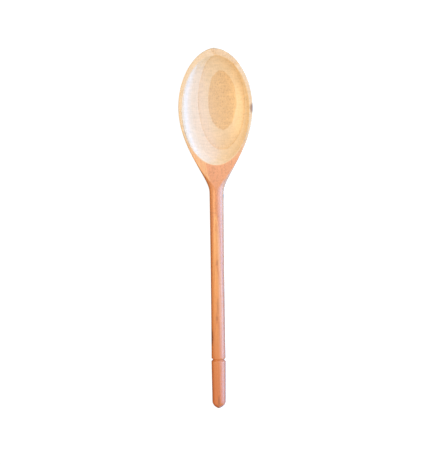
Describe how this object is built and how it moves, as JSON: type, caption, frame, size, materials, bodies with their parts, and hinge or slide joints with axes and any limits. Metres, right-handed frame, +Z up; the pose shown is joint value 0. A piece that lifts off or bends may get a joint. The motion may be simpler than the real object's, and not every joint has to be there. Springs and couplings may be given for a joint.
{
  "type": "wooden spoon",
  "caption": "Wooden cooking spoon with an egg-shaped hollowed bowl, a flat planed rim that runs on to the neck, and a slim round turned handle with a groove near its end.",
  "frame": {"origin": "centre of the overall box in X and Y, on the flat surface that the spoon lies on face up", "axes": "+Y along the spoon towards the bowl's tip, +X across it, +Z up, out of the hollow"},
  "size_m": [0.0618, 0.2999, 0.0159],
  "materials": {
    "beech": "bare beech, turned and sanded smooth, with a faint oily sheen"
  },
  "bodies": {
    "root": {"bowl": "beech", "neck": "beech", "handle": "beech", "handle_end": "beech"}
  },
  "joints": []
}
